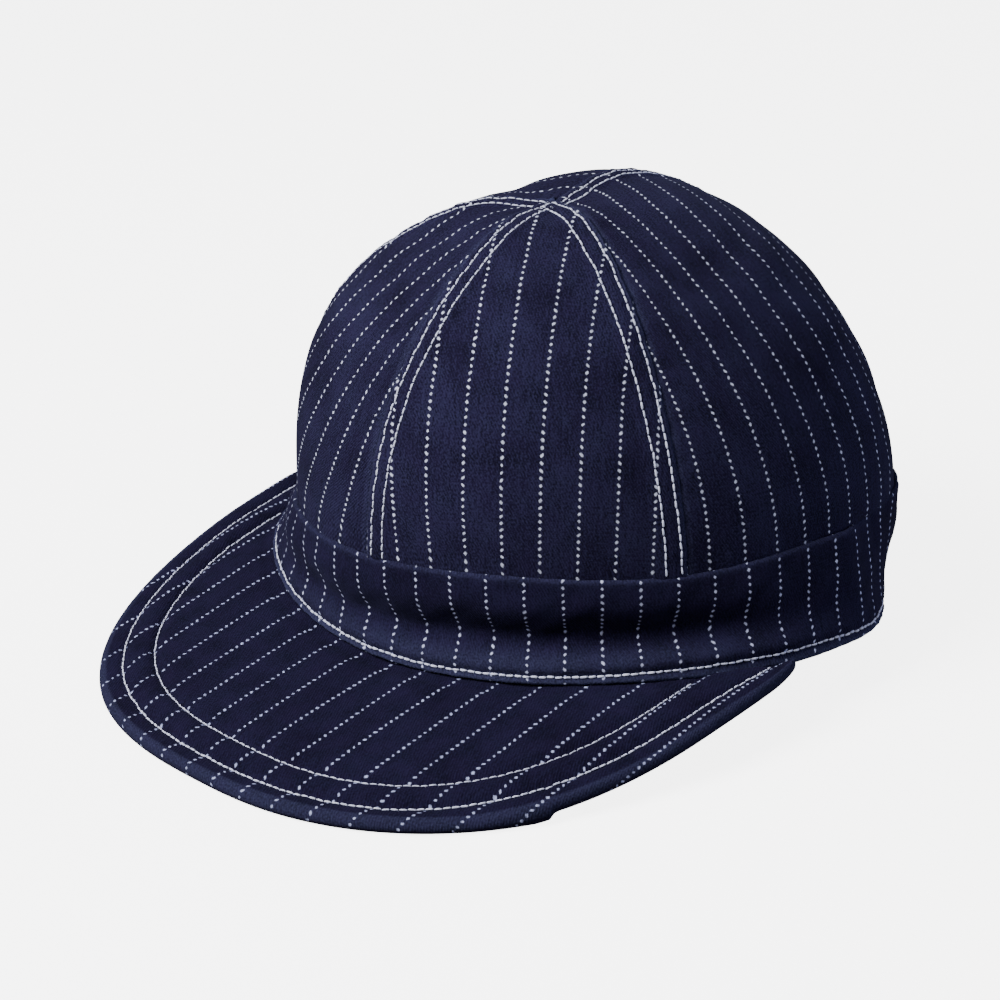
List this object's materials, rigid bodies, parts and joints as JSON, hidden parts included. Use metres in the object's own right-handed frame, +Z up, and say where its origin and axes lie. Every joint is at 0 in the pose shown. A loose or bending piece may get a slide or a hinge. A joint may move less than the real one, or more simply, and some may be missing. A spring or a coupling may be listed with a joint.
{
  "type": "work cap",
  "caption": "Soft striped twill work cap with a panelled crown, a tall head band and a short stitched peak, standing as it rests on a table.",
  "frame": {"origin": "middle of the cap's footprint, on the surface it rests on", "axes": "+Z up, the peak points to -Y, the wearer's left is +X"},
  "size_m": [0.2134, 0.2606, 0.1423],
  "materials": {
    "crown_twill": "matte indigo cotton twill with dotted white stripes",
    "band_twill": "matte indigo cotton twill with dotted white stripes",
    "peak_twill": "matte indigo cotton twill, padded and channel stitched",
    "stitching_thread": "pale cotton sewing thread"
  },
  "bodies": {
    "root": {"crown_front_left": "crown_twill", "crown_front_right": "crown_twill", "crown_back_left": "crown_twill", "crown_back_right": "crown_twill", "head_band": "band_twill", "peak": "peak_twill"}
  },
  "joints": []
}
